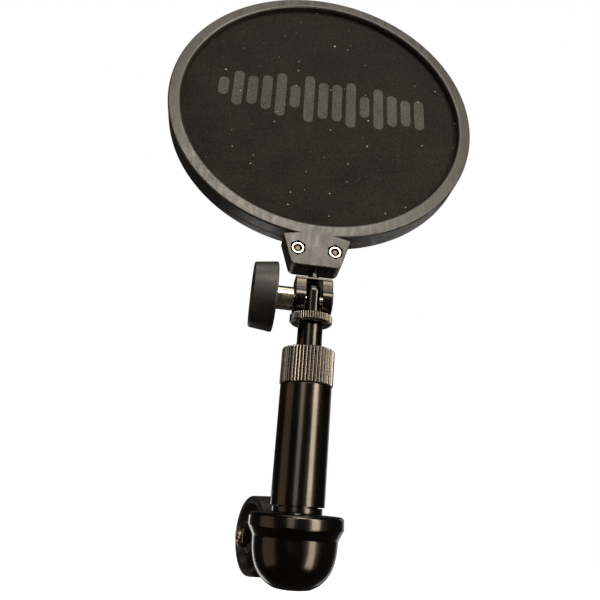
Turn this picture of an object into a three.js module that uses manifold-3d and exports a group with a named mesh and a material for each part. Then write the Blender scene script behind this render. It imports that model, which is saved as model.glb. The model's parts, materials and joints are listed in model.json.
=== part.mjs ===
// Pop filter on a short telescopic rod, with a tilting stand adapter.
// Millimetres, +Z up along the rod, front of the screen towards -Y.
// The origin is the centre of the flat end of the stand adapter's threaded socket.
import * as THREE from 'three';
import { mergeVertices } from 'three/addons/utils/BufferGeometryUtils.js';
import Module from 'manifold-3d';

const wasm = await Module();
wasm.setup();

// ---------------------------------------------------------------- driving dimensions
const GAP = 0.3;                  // clearance between neighbouring solids
const PAST = 1;                   // how far a cutter runs past the face it opens
const OVERLAP = 0.5;              // how far two joined solids run into each other
const ROUND = 24;                 // facets round a small turned piece
const HOOP_ROUND = 48;            // facets round the hoop

// overall layout, heights measured from the head hinge
const HINGE_HEIGHT = 105.6;       // head hinge above the end of the stand socket
const HEAD_TILT = THREE.MathUtils.degToRad(7.54);     // the head leans back
const BASE_TURN = THREE.MathUtils.degToRad(19);       // base swivel axis, turned about the rod
const PIVOT_Y = 35.3;             // base pivot behind the rod axis
const PIVOT_Z = -95.5;            // base pivot height
const ADAPTER_X = 17.8;           // adapter centre along the base pivot

// hoop
const HOOP_CENTRE = 104;          // hoop centre above the head hinge
const HOOP_R = 75;                // 150 mm hoop
const HOOP_INNER_R = 69;
const HOOP_SEAT_R = 71.3;         // seat that the cloth and the spacer sit in
const HOOP_FRONT = -5.8;
const HOOP_REAR = 6.4;
const HOOP_PARTING = 0.9;
const HOOP_LIP = 2.8;             // depth of the lip in front of the cloth
const HOOP_CHAMFER = 0.8;
const CLOTH_R = 71;
const CLOTH_THICK = 0.6;
const SPACER_INNER_R = 69.2;

// clamp tab under the hoop
const TAB_BOTTOM = 13.9;
const TAB_BOTTOM_HALF = 10.55;
const TAB_EAR = 28.4;             // height of the two upper corners
const TAB_NECK = 7.5;             // half width where the tab runs into the hoop
const TAB_NECK_RISE = 1.6;        // from the upper corners to the neck
const TAB_TOP = 33.5;
const TAB_SLOPE = 0.305;          // how fast the half width grows with height
const TAB_CORNER_R = 3.8;
const TAB_REAR = 4.4;             // rear face of the tab, in front of the hoop's rear face

// clamp screws and nuts
const SCREW_X = 8.15;
const SCREW_Z = 22;
const SCREW_R = 1.5;
const SCREW_HEAD_R = 2.8;
const SCREW_HEAD_H = 2;
const SCREW_SUNK = 0.1;           // how far the head stops below the rear face of the tab
const NUT_FLATS = 5.5;
const NUT_H = 2.4;
const POCKET_GAP = 0.5;           // clearance round a nut in its pocket

// clevis fork
const EAR_INNER = 3.6;
const EAR_OUTER = 8;
const EAR_R = 6.4;
const EAR_TOP = 7.4;              // shoulder where the ears pass into the narrower block
const BLOCK_HALF = 5.7;           // half depth of the block above the ears
const BRIDGE_LOW = 8.1;
const BRIDGE_TOP = 9.8;
const SHANK_R = 2.4;
const SHANK_TOP = 24.2;
const SHANK_BUTTON_R = 3.3;
const SHANK_BUTTON_Z = 20.4;
const SHANK_BUTTON_H = 2.8;

// head hinge
const STUD_R = 2.5;
const STUD_RIGHT = 7.8;
const STUD_LEFT = -25.7;
const KNOB_R = 15;                // at the inner face; the wall is drafted towards the outer face
const KNOB_DRAFT = 1.3;
const KNOB_INNER_X = -15.9;
const KNOB_WIDTH = 10;
const KNOB_HUB_FACE = 4;
const KNOB_HUB_WALL = 2.4;        // of both knobs, as are the next six
const KNOB_HUB_RISE = 3.2;
const KNOB_DISH_FLOOR = 2.6;
const KNOB_DISH_FLARE = 1.2;
const KNOB_EDGE = 0.9;
const KNOB_LIP = 1.4;
const KNOB_LIP_DEPTH = 1.6;
const BUSH_R = 5;
const BUSH_INNER_R = 2.8;
const BIG_NUT_FLATS = 8;
const BIG_NUT_H = 4;
const HINGE_WASHER_R = 7;

// rod
const TONGUE_HALF = 3;
const TONGUE_R = 4.2;             // half depth, and radius of the rounded top
const TONGUE_RISE = 3.3;          // centre of the rounded top above the hinge
const TONGUE_LOW = -6.4;
const STEM_R = 3;
const STEM_BOTTOM = -20;
const LOCK_R = 8.95;
const LOCK_CHAMFER = 0.5;
const LOCK_TOP = -6.7;
const LOCK_BOTTOM = -10.5;
const INNER_R = 5.2;
const INNER_TOP = -10.8;
const INNER_BOTTOM = -66;
const INNER_BORE_R = 4.3;
const INNER_SOCKET_BOTTOM = -21;
const COLLAR_R = 10.85;
const COLLAR_CHAMFER = 0.7;
const COLLAR_MOUTH = 0.4;         // clearance round the inner tube
const COLLAR_TOP = -21.4;
const COLLAR_BOTTOM = -36.2;
const COLLAR_LIP = 3.1;
const COLLAR_THREAD_R = 9.35;
const COLLET_INNER_R = 5.5;
const COLLET_R = 7.9;
const COLLET_FLANGE_R = 9;
const COLLET_BOTTOM = -34;
const COLLET_FLANGE_H = 1.5;
const COLLET_SLIT = 1;
const COLLET_SLIT_STOP = 0.8;     // how far the slits stop below the flange
const TUBE_R = 10.4;
const TUBE_THREAD_R = 9.05;
const TUBE_INNER_R = 8.2;
const TUBE_TOP = -26.6;
const TUBE_SHOULDER = -36.5;
const TUBE_BOTTOM = -82.2;
const GUIDE_TOP = -60;
const PLUG_TOP = -77;
const PLUG_CAP = 1.5;
const NECK_R = 9.6;
const NECK_BOTTOM = -84.7;

// bell
const BELL_TOP = -85;
const BELL_RIM_R = 18.05;
const BELL_RIM_BOTTOM = -89.6;
const BELL_STEPS = 6;             // facets down the bowl
const BELL_FIRST_STEP = 0.1;      // share of the bowl's sweep before its first facet
const BOWL_R = 16;
const BOWL_TOP = -93.4;
const BOWL_POWER = 2.5;           // exponent of the bowl's superellipse; 2 is a plain ellipse
const BELL_BOTTOM = -110.6;
const BELL_FLOOR_R = 6.5;
const BELL_WELL_R = 4.6;
const BELL_PLATE = 3.2;
const BELL_SCREW_R = 2.2;
const BELL_SCREW_HEAD_R = 4;
const BELL_SCREW_HEAD_H = 2.5;
const BELL_SCREW_REACH = 2;       // how far the screw stops below the top of the plug

// base joint
const BASE_KNOB_R = 16.2;
const BASE_KNOB_DRAFT = 0.4;
const BASE_KNOB_INNER_X = 5.2;
const BASE_KNOB_WIDTH = 9;
const BASE_KNOB_HUB_FACE = 9.3;
const BASE_BUSH_R = 4;
const BOLT_R = 2.5;
const BOLT_HEAD_R = 5;
const BOLT_HEAD_H = 3;
const BOLT_END = 1;               // how far the bolt stands out of its nut
const WASHER_R = 5;
const WASHER_H = 0.8;
const FORK_EAR = 3.2;             // thickness of one ear of the adapter's fork
const FORK_LEFT_X = 7.8;
const FORK_RIGHT_X = 16.5;
const LUG_LEFT_X = 11.3;
const LUG_RIGHT_X = 16.2;
const LUG_R = 7.2;
const LUG_ROOT_Y = 4;             // where the lug starts, inside the bell
const LUG_ROOT_TOP = -86.2;
const LUG_ROOT_BOTTOM = -97;
const LUG_FIRST_ANGLE = -1.75;    // where the lug's round end starts and stops, in radians
const LUG_LAST_ANGLE = 1.85;
const ADAPTER_R = 11;
const ADAPTER_TOP = -103.3;
const ADAPTER_LOW_CHAMFER = 0.6;
const ADAPTER_TOP_CHAMFER = 0.8;
const SOCKET_R = 7.5;
const SOCKET_DEPTH = 8.6;
const SOCKET_END = -HINGE_HEIGHT;
const ADAPTER_BOTTOM = SOCKET_END - SOCKET_DEPTH;
const THROUGH = 40;               // half length of a cutter that passes right through

// ---------------------------------------------------------------- materials
const plastic = (color, roughness) => new THREE.MeshStandardMaterial({ color, roughness, metalness: 0 });
const metal = (color, roughness) => new THREE.MeshStandardMaterial({ color, roughness, metalness: 1 });
const MATTE_FRAME = plastic(0x4a4742, 0.7);
const CLOTH = plastic(0x2b2824, 0.95);
const MATTE_KNOB = plastic(0x35332f, 0.75);
const BLACK_METAL = metal(0x1d1b1a, 0.25);
const SATIN_BLACK = metal(0x3a3632, 0.45);
const NICKEL = metal(0xd6d2c8, 0.25);
const DARK_PLASTIC = plastic(0x242321, 0.5);

// ---------------------------------------------------------------- solid helpers
// Turns a closed geometry into a solid, facing outwards, with no collapsed triangles.
function solid(geometry) {
  const bare = geometry.clone();
  bare.deleteAttribute('normal');
  bare.deleteAttribute('uv');
  const merged = mergeVertices(bare, 1e-4);
  const points = merged.attributes.position.array;
  const corners = merged.index.array;
  const kept = [];
  let volume = 0;
  const a = new THREE.Vector3();
  const b = new THREE.Vector3();
  const c = new THREE.Vector3();
  for (let i = 0; i < corners.length; i += 3) {
    const [p, q, r] = [corners[i], corners[i + 1], corners[i + 2]];
    if (p === q || q === r || r === p) continue;
    kept.push([p, q, r]);
    a.fromArray(points, 3 * p);
    b.fromArray(points, 3 * q);
    c.fromArray(points, 3 * r);
    volume += a.dot(b.cross(c));
  }
  const turned = volume < 0 ? kept.map(([p, q, r]) => [p, r, q]) : kept;
  return new wasm.Manifold(new wasm.Mesh({
    numProp: 3,
    vertProperties: new Float32Array(points),
    triVerts: new Uint32Array(turned.flat()),
  }));
}

function join(first, ...others) {
  return others.reduce((whole, other) => whole.add(other), first);
}

function cut(first, ...others) {
  return others.reduce((whole, other) => whole.subtract(other), first);
}

// A turned solid. The profile is a closed outline of [radius, height] about the given axis.
function lathe(profile, axis = 'z', facets = ROUND) {
  const outline = profile.map(([r, h]) => new THREE.Vector2(r, h));
  outline.push(outline[0].clone());
  const geometry = new THREE.LatheGeometry(outline, facets);
  if (axis === 'z') geometry.rotateX(Math.PI / 2);
  if (axis === 'x') geometry.rotateZ(-Math.PI / 2);
  return solid(geometry);
}

// A round bar between two heights along an axis.
function bar(radius, low, high, axis = 'z', facets = ROUND) {
  return lathe([[0, low], [radius, low], [radius, high], [0, high]], axis, facets);
}

// A ring with a bore between two heights along an axis.
function ring(inner, outer, low, high, axis = 'z', facets = ROUND) {
  return lathe([[inner, low], [outer, low], [outer, high], [inner, high]], axis, facets);
}

// A flat outline pushed along an axis: the outline is in (x, z) for 'y' and in (y, z) for 'x'.
function slab(outline, low, high, axis, curveSegments = 6) {
  const geometry = new THREE.ExtrudeGeometry(outline, {
    depth: high - low, bevelEnabled: false, curveSegments,
  });
  geometry.translate(0, 0, low);
  const x = new THREE.Vector3(1, 0, 0);
  const y = new THREE.Vector3(0, 1, 0);
  const z = new THREE.Vector3(0, 0, 1);
  const basis = new THREE.Matrix4();
  if (axis === 'y') basis.makeBasis(x, z, y);
  if (axis === 'x') basis.makeBasis(y, z, x);
  geometry.applyMatrix4(basis);
  return solid(geometry);
}

function hexagon(flats) {
  const outline = new THREE.Shape();
  const corner = flats / Math.sqrt(3);
  for (let i = 0; i < 6; i += 1) {
    const angle = (i + 0.5) * Math.PI / 3;
    const place = [corner * Math.cos(angle), corner * Math.sin(angle)];
    if (i === 0) outline.moveTo(...place);
    else outline.lineTo(...place);
  }
  outline.closePath();
  return outline;
}

function hexNut(flats, bore, low, high, axis) {
  return cut(slab(hexagon(flats), low, high, axis), bar(bore, low - PAST, high + PAST, axis, 16));
}

// Adds a solid to a group as a named mesh.
function addTo(group, name, body, material) {
  const { vertProperties, triVerts } = body.getMesh();
  const geometry = new THREE.BufferGeometry();
  geometry.setAttribute('position', new THREE.BufferAttribute(new Float32Array(vertProperties), 3));
  geometry.setIndex(new THREE.BufferAttribute(new Uint32Array(triVerts), 1));
  geometry.computeVertexNormals();
  const mesh = new THREE.Mesh(geometry, material);
  mesh.name = name;
  group.add(mesh);
}

// ---------------------------------------------------------------- head
function tabOutline() {
  const earX = TAB_BOTTOM_HALF + (TAB_EAR - TAB_BOTTOM) * TAB_SLOPE;
  const sideX = TAB_BOTTOM_HALF + TAB_CORNER_R * TAB_SLOPE;
  const neckZ = TAB_EAR + TAB_NECK_RISE;
  const outline = new THREE.Shape();
  outline.moveTo(-TAB_NECK, TAB_TOP);
  outline.lineTo(-TAB_NECK, neckZ);
  outline.lineTo(-earX, TAB_EAR);
  outline.lineTo(-sideX, TAB_BOTTOM + TAB_CORNER_R);
  outline.quadraticCurveTo(-TAB_BOTTOM_HALF, TAB_BOTTOM, -sideX + TAB_CORNER_R, TAB_BOTTOM);
  outline.lineTo(sideX - TAB_CORNER_R, TAB_BOTTOM);
  outline.quadraticCurveTo(TAB_BOTTOM_HALF, TAB_BOTTOM, sideX, TAB_BOTTOM + TAB_CORNER_R);
  outline.lineTo(earX, TAB_EAR);
  outline.lineTo(TAB_NECK, neckZ);
  outline.lineTo(TAB_NECK, TAB_TOP);
  outline.closePath();
  return outline;
}

// Half of the hoop: a lip that hides the cloth's edge, a seat behind it, and half of the tab.
function hoopHalf(face, parting, tabFace) {
  const inward = Math.sign(parting - face);
  const lip = face + inward * HOOP_LIP;
  const edge = face + inward * HOOP_CHAMFER;
  const band = lathe([
    [HOOP_INNER_R + HOOP_CHAMFER / 2, face],
    [HOOP_R - HOOP_CHAMFER, face],
    [HOOP_R, edge],
    [HOOP_R, parting],
    [HOOP_SEAT_R, parting],
    [HOOP_SEAT_R, lip],
    [HOOP_INNER_R, lip],
    [HOOP_INNER_R, face + inward * HOOP_CHAMFER / 2],
  ], 'y', HOOP_ROUND).translate([0, 0, HOOP_CENTRE]);
  const seat = bar(HOOP_SEAT_R, -THROUGH, THROUGH, 'y', HOOP_ROUND).translate([0, 0, HOOP_CENTRE]);
  const low = Math.min(tabFace, parting);
  const high = Math.max(tabFace, parting);
  const tab = cut(slab(tabOutline(), low, high, 'y'), seat);
  const pocket = SHANK_BUTTON_R + GAP;
  const shankHole = bar(SHANK_R + GAP, TAB_BOTTOM - PAST, SHANK_TOP + GAP, 'z', 20);
  const buttonHole = bar(pocket, SHANK_BUTTON_Z - GAP, SHANK_BUTTON_Z + SHANK_BUTTON_H + GAP, 'z', 20);
  const screwHoles = [-1, 1].map((side) => bar(SCREW_R + GAP, -THROUGH, THROUGH, 'y', 16)
    .translate([side * SCREW_X, 0, SCREW_Z]));
  return cut(join(band, tab), shankHole, buttonHole, ...screwHoles);
}

function frontHoop() {
  const floor = HOOP_FRONT + NUT_H + GAP;
  const pockets = [-1, 1].map((side) => slab(hexagon(NUT_FLATS + 2 * POCKET_GAP), HOOP_FRONT - PAST, floor, 'y')
    .translate([side * SCREW_X, 0, SCREW_Z]));
  return cut(hoopHalf(HOOP_FRONT, HOOP_PARTING - GAP / 2, HOOP_FRONT), ...pockets);
}

function rearHoop() {
  const floor = TAB_REAR - SCREW_HEAD_H - GAP;
  const pockets = [-1, 1].map((side) => bar(SCREW_HEAD_R + GAP, floor, TAB_REAR + PAST, 'y', 20)
    .translate([side * SCREW_X, 0, SCREW_Z]));
  return cut(hoopHalf(HOOP_REAR, HOOP_PARTING + GAP / 2, TAB_REAR), ...pockets);
}

function clampScrew(side) {
  const under = TAB_REAR - SCREW_HEAD_H;
  return join(
    bar(SCREW_R, HOOP_FRONT + GAP, under + OVERLAP, 'y', 16),
    bar(SCREW_HEAD_R, under, TAB_REAR - SCREW_SUNK, 'y', 20),
  ).translate([side * SCREW_X, 0, SCREW_Z]);
}

function clampNut(side) {
  return hexNut(NUT_FLATS, SCREW_R + GAP, HOOP_FRONT, HOOP_FRONT + NUT_H, 'y')
    .translate([side * SCREW_X, 0, SCREW_Z]);
}

function cloth(face, inward) {
  const front = face + inward * (HOOP_LIP + GAP);
  const back = front + inward * CLOTH_THICK;
  return bar(CLOTH_R, Math.min(front, back), Math.max(front, back), 'y', HOOP_ROUND)
    .translate([0, 0, HOOP_CENTRE]);
}

function spacerRing() {
  const inset = HOOP_LIP + CLOTH_THICK + 2 * GAP;
  return ring(SPACER_INNER_R, CLOTH_R, HOOP_FRONT + inset, HOOP_REAR - inset, 'y', HOOP_ROUND)
    .translate([0, 0, HOOP_CENTRE]);
}

// A plate end with a half-round top about (y, z), standing on a straight foot.
function earOutline(y, z, radius, foot) {
  const outline = new THREE.Shape();
  outline.moveTo(y + radius, foot);
  outline.lineTo(y + radius, z);
  outline.absarc(y, z, radius, 0, Math.PI, false);
  outline.lineTo(y - radius, foot);
  outline.closePath();
  return outline;
}

// A plain rectangle in (y, z).
function rectangle(halfDepth, low, high) {
  const outline = new THREE.Shape();
  outline.moveTo(-halfDepth, low);
  outline.lineTo(halfDepth, low);
  outline.lineTo(halfDepth, high);
  outline.lineTo(-halfDepth, high);
  outline.closePath();
  return outline;
}

function clevisFork() {
  const ears = new THREE.Shape();
  ears.moveTo(-EAR_R, EAR_TOP);
  ears.lineTo(-EAR_R, 0);
  ears.absarc(0, 0, EAR_R, Math.PI, 2 * Math.PI, false);
  ears.lineTo(EAR_R, EAR_TOP);
  ears.closePath();
  const whole = slab(ears, -EAR_OUTER, EAR_OUTER, 'x', 9);
  const block = slab(rectangle(BLOCK_HALF, EAR_TOP - OVERLAP, BRIDGE_TOP), -EAR_OUTER, EAR_OUTER, 'x');
  const slot = slab(rectangle(THROUGH, -THROUGH, BRIDGE_LOW), -EAR_INNER, EAR_INNER, 'x');
  const fork = cut(join(whole, block), slot, bar(STUD_R + GAP, -THROUGH, THROUGH, 'x', 20));
  return join(
    fork,
    bar(SHANK_R, BRIDGE_TOP - OVERLAP, SHANK_TOP, 'z', 20),
    bar(SHANK_BUTTON_R, SHANK_BUTTON_Z, SHANK_BUTTON_Z + SHANK_BUTTON_H, 'z', 20),
  );
}

// A dished knob on an axis along x: the inner face is at innerX and the dish opens towards -x.
// The outer wall loses draft from its radius between the inner and the outer face.
function dishedKnob(radius, draft, width, hubFace, bore, innerX) {
  const hub = bore + KNOB_HUB_WALL;
  const rim = radius - draft;
  const lip = rim - KNOB_EDGE - KNOB_LIP;
  const outline = [
    [bore, 0], [radius - KNOB_EDGE, 0], [radius, KNOB_EDGE], [rim, width - KNOB_EDGE], [rim - KNOB_EDGE, width],
    [lip, width], [lip - KNOB_EDGE, width - KNOB_LIP_DEPTH], [hub + KNOB_DISH_FLARE, KNOB_DISH_FLOOR],
    [hub, KNOB_HUB_RISE], [hub, hubFace], [bore, hubFace],
  ];
  return lathe(outline.map(([r, h]) => [r, innerX - h]), 'x', 32);
}

function buildHead() {
  const head = new THREE.Group();
  head.rotation.x = -HEAD_TILT;
  addTo(head, 'front_hoop', frontHoop(), MATTE_FRAME);
  addTo(head, 'rear_hoop', rearHoop(), MATTE_FRAME);
  addTo(head, 'front_mesh', cloth(HOOP_FRONT, 1), CLOTH);
  addTo(head, 'rear_mesh', cloth(HOOP_REAR, -1), CLOTH);
  addTo(head, 'mesh_spacer_ring', spacerRing(), DARK_PLASTIC);
  [['left', -1], ['right', 1]].forEach(([name, side]) => {
    addTo(head, `hoop_screw_${name}`, clampScrew(side), NICKEL);
    addTo(head, `hoop_nut_${name}`, clampNut(side), NICKEL);
  });
  addTo(head, 'clevis_fork', clevisFork(), BLACK_METAL);

  const hubX = KNOB_INNER_X - KNOB_HUB_FACE;
  const washerX = hubX - GAP;
  const nutX = washerX - WASHER_H - GAP;
  addTo(head, 'hinge_stud', bar(STUD_R, STUD_LEFT, STUD_RIGHT, 'x', 20), NICKEL);
  addTo(head, 'hinge_knob',
    dishedKnob(KNOB_R, KNOB_DRAFT, KNOB_WIDTH, KNOB_HUB_FACE, BUSH_R + GAP, KNOB_INNER_X),
    MATTE_KNOB);
  addTo(head, 'hinge_bush', ring(BUSH_INNER_R, BUSH_R, hubX, -EAR_OUTER - GAP, 'x', 24), NICKEL);
  addTo(head, 'hinge_washer', ring(STUD_R + GAP, HINGE_WASHER_R, washerX - WASHER_H, washerX, 'x', 24), NICKEL);
  addTo(head, 'hinge_knob_nut', hexNut(BIG_NUT_FLATS, STUD_R + GAP, nutX - BIG_NUT_H, nutX, 'x'), NICKEL);
  return head;
}

// ---------------------------------------------------------------- rod
function stemEye() {
  const block = slab(earOutline(0, TONGUE_RISE, TONGUE_R, TONGUE_LOW), -TONGUE_HALF, TONGUE_HALF, 'x', 9);
  const round = bar(TONGUE_R, TONGUE_LOW - PAST, TONGUE_RISE + TONGUE_R + PAST, 'z', 24);
  const tongue = cut(block.intersect(round), bar(STUD_R + GAP, -THROUGH, THROUGH, 'x', 20));
  return join(tongue, bar(STEM_R, STEM_BOTTOM, TONGUE_LOW + OVERLAP, 'z', 20));
}

function lockRing() {
  const bore = STEM_R + GAP;
  return lathe([
    [bore, LOCK_BOTTOM], [LOCK_R - LOCK_CHAMFER, LOCK_BOTTOM], [LOCK_R, LOCK_BOTTOM + LOCK_CHAMFER],
    [LOCK_R, LOCK_TOP - LOCK_CHAMFER], [LOCK_R - LOCK_CHAMFER, LOCK_TOP], [bore, LOCK_TOP],
  ]);
}

function innerTube() {
  const socket = STEM_R + GAP;
  return lathe([
    [socket, INNER_TOP], [INNER_R, INNER_TOP], [INNER_R, INNER_BOTTOM],
    [INNER_BORE_R, INNER_BOTTOM], [INNER_BORE_R, INNER_SOCKET_BOTTOM], [socket, INNER_SOCKET_BOTTOM],
  ]);
}

function clutchCollar() {
  const mouth = INNER_R + COLLAR_MOUTH;
  return lathe([
    [mouth, COLLAR_TOP], [COLLAR_R - COLLAR_CHAMFER, COLLAR_TOP], [COLLAR_R, COLLAR_TOP - COLLAR_CHAMFER],
    [COLLAR_R, COLLAR_BOTTOM], [COLLAR_THREAD_R, COLLAR_BOTTOM],
    [COLLAR_THREAD_R, COLLAR_TOP - COLLAR_LIP], [mouth, COLLAR_TOP - COLLAR_LIP],
  ]);
}

// A split sleeve whose fingers close on the inner tube when the collar is tightened.
function collet() {
  const top = COLLAR_TOP - COLLAR_LIP - GAP;
  const flange = top - COLLET_FLANGE_H;
  const sleeve = lathe([
    [COLLET_INNER_R, top], [COLLET_FLANGE_R, top], [COLLET_FLANGE_R, flange],
    [COLLET_R, flange], [COLLET_R, COLLET_BOTTOM], [COLLET_INNER_R, COLLET_BOTTOM],
  ]);
  const slit = rectangle(THROUGH, COLLET_BOTTOM - PAST, flange - COLLET_SLIT_STOP);
  const half = COLLET_SLIT / 2;
  return cut(sleeve, slab(slit, -half, half, 'x'), slab(slit, -half, half, 'y'));
}

function outerTube() {
  return lathe([
    [TUBE_INNER_R, TUBE_TOP], [TUBE_THREAD_R, TUBE_TOP], [TUBE_THREAD_R, TUBE_SHOULDER],
    [TUBE_R, TUBE_SHOULDER], [TUBE_R, TUBE_BOTTOM], [TUBE_INNER_R, TUBE_BOTTOM],
  ]);
}

function neckPlug() {
  const neckTop = TUBE_BOTTOM - GAP;
  const hole = BELL_SCREW_R + GAP;
  return lathe([
    [0, PLUG_TOP], [TUBE_INNER_R - GAP, PLUG_TOP], [TUBE_INNER_R - GAP, neckTop],
    [NECK_R, neckTop], [NECK_R, NECK_BOTTOM], [hole, NECK_BOTTOM], [hole, PLUG_TOP - PLUG_CAP],
    [0, PLUG_TOP - PLUG_CAP],
  ]);
}

function buildRod() {
  const rod = new THREE.Group();
  addTo(rod, 'stem_eye', stemEye(), BLACK_METAL);
  addTo(rod, 'lock_ring', lockRing(), SATIN_BLACK);
  addTo(rod, 'inner_tube', innerTube(), BLACK_METAL);
  addTo(rod, 'guide_bush', ring(INNER_R + GAP, TUBE_INNER_R - GAP, INNER_BOTTOM, GUIDE_TOP), DARK_PLASTIC);
  addTo(rod, 'clutch_collar', clutchCollar(), SATIN_BLACK);
  addTo(rod, 'collet', collet(), DARK_PLASTIC);
  addTo(rod, 'outer_tube', outerTube(), BLACK_METAL);
  addTo(rod, 'neck_plug', neckPlug(), BLACK_METAL);
  return rod;
}

// ---------------------------------------------------------------- base
// The bell: a bead rim with a sloping underside, a full bowl, and a lug at the back for the pivot.
function bell() {
  const outline = [
    [BELL_SCREW_R + GAP, BELL_TOP], [BELL_RIM_R - 1.6, BELL_TOP], [BELL_RIM_R - 0.4, BELL_TOP - 0.7],
    [BELL_RIM_R, BELL_TOP - 2], [BELL_RIM_R, BELL_RIM_BOTTOM + 0.8], [BELL_RIM_R - 0.4, BELL_RIM_BOTTOM - 0.4],
    [BOWL_R, BOWL_TOP],
  ];
  const roundness = 2 / BOWL_POWER;
  const lastAngle = Math.acos((BELL_FLOOR_R / BOWL_R) ** (1 / roundness));
  const depth = (BOWL_TOP - BELL_BOTTOM) / Math.sin(lastAngle) ** roundness;
  for (let i = 1; i <= BELL_STEPS; i += 1) {
    const angle = lastAngle * (BELL_FIRST_STEP + (1 - BELL_FIRST_STEP) * i / BELL_STEPS);
    outline.push([BOWL_R * Math.cos(angle) ** roundness, BOWL_TOP - depth * Math.sin(angle) ** roundness]);
  }
  const ceiling = BELL_TOP - BELL_PLATE;
  outline.push([BELL_WELL_R, BELL_BOTTOM], [BELL_WELL_R, ceiling], [BELL_SCREW_R + GAP, ceiling]);

  const [first, last] = [LUG_FIRST_ANGLE, LUG_LAST_ANGLE];
  const lug = new THREE.Shape();
  lug.moveTo(LUG_ROOT_Y, LUG_ROOT_BOTTOM);
  lug.lineTo(PIVOT_Y + LUG_R * Math.cos(first), PIVOT_Z + LUG_R * Math.sin(first));
  lug.absarc(PIVOT_Y, PIVOT_Z, LUG_R, first, last, false);
  lug.lineTo(LUG_ROOT_Y, LUG_ROOT_TOP);
  lug.closePath();
  const plate = slab(lug, LUG_LEFT_X, LUG_RIGHT_X, 'x', 8);
  const pin = bar(BOLT_R + GAP, -THROUGH, THROUGH, 'x', 20).translate([0, PIVOT_Y, PIVOT_Z]);
  return cut(join(lathe(outline, 'z', 30), plate), pin);
}

function bellScrew() {
  const under = BELL_TOP - BELL_PLATE - GAP;
  return join(
    bar(BELL_SCREW_R, under - OVERLAP, PLUG_TOP - BELL_SCREW_REACH, 'z', 16),
    bar(BELL_SCREW_HEAD_R, under - BELL_SCREW_HEAD_H, under, 'z', 20),
  );
}

function standAdapter() {
  const body = lathe([
    [0, SOCKET_END], [SOCKET_R, SOCKET_END], [SOCKET_R, ADAPTER_BOTTOM],
    [ADAPTER_R - ADAPTER_LOW_CHAMFER, ADAPTER_BOTTOM], [ADAPTER_R, ADAPTER_BOTTOM + ADAPTER_LOW_CHAMFER],
    [ADAPTER_R, ADAPTER_TOP - ADAPTER_TOP_CHAMFER], [ADAPTER_R - ADAPTER_TOP_CHAMFER, ADAPTER_TOP],
    [0, ADAPTER_TOP],
  ], 'z', 30).translate([ADAPTER_X, PIVOT_Y, 0]);
  const outline = earOutline(PIVOT_Y, PIVOT_Z, LUG_R, ADAPTER_TOP - OVERLAP);
  const ear = (x) => slab(outline, x, x + FORK_EAR, 'x', 8);
  const pin = bar(BOLT_R + GAP, -THROUGH, THROUGH, 'x', 20).translate([0, PIVOT_Y, PIVOT_Z]);
  return cut(join(body, ear(FORK_LEFT_X), ear(FORK_RIGHT_X)), pin);
}

function buildBase() {
  const base = new THREE.Group();
  base.rotation.z = BASE_TURN;
  addTo(base, 'bell', bell(), BLACK_METAL);
  addTo(base, 'bell_screw', bellScrew(), NICKEL);
  addTo(base, 'stand_adapter', standAdapter(), BLACK_METAL);

  const pivot = new THREE.Group();
  pivot.position.set(0, PIVOT_Y, PIVOT_Z);
  base.add(pivot);
  const leftWasherX = FORK_LEFT_X - GAP - WASHER_H;
  const rightWasherX = FORK_RIGHT_X + FORK_EAR + GAP;
  const headX = rightWasherX + WASHER_H + GAP;
  const hubX = BASE_KNOB_INNER_X - BASE_KNOB_HUB_FACE;
  const nutX = hubX - GAP;
  const boltEnd = nutX - BIG_NUT_H - BOLT_END;
  const washer = (x) => ring(BOLT_R + GAP, WASHER_R, x, x + WASHER_H, 'x', 24);
  const bolt = join(
    bar(BOLT_R, boltEnd, headX + OVERLAP, 'x', 20),
    bar(BOLT_HEAD_R, headX, headX + BOLT_HEAD_H, 'x', 24),
  );
  addTo(pivot, 'base_bolt', bolt, NICKEL);
  addTo(pivot, 'base_washer_left', washer(leftWasherX), NICKEL);
  addTo(pivot, 'base_washer_right', washer(rightWasherX), NICKEL);
  const baseKnob = dishedKnob(BASE_KNOB_R, BASE_KNOB_DRAFT, BASE_KNOB_WIDTH, BASE_KNOB_HUB_FACE,
    BASE_BUSH_R + GAP, BASE_KNOB_INNER_X);
  addTo(pivot, 'base_knob', baseKnob, MATTE_KNOB);
  addTo(pivot, 'base_knob_bush', ring(BUSH_INNER_R, BASE_BUSH_R, hubX, leftWasherX - GAP, 'x', 24), NICKEL);
  addTo(pivot, 'base_knob_nut', hexNut(BIG_NUT_FLATS, BOLT_R + GAP, nutX - BIG_NUT_H, nutX, 'x'), NICKEL);
  return base;
}

// ---------------------------------------------------------------- assembly
const group = new THREE.Group();
const assembly = new THREE.Group();
const turn = new THREE.Vector3(ADAPTER_X, PIVOT_Y, 0).applyAxisAngle(new THREE.Vector3(0, 0, 1), BASE_TURN);
assembly.position.set(-turn.x, -turn.y, HINGE_HEIGHT);
assembly.add(buildHead(), buildRod(), buildBase());
group.add(assembly);

export default group;
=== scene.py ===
"""Pop filter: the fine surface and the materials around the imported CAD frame.

Every piece is modelled in millimetres in one of three local frames (head, rod, base). They come from the
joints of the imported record. The piece is moved into the row frame, in metres, when it is made.
"""
import json
import math

import bmesh
import bpy
from mathutils import Matrix, Vector, noise


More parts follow.
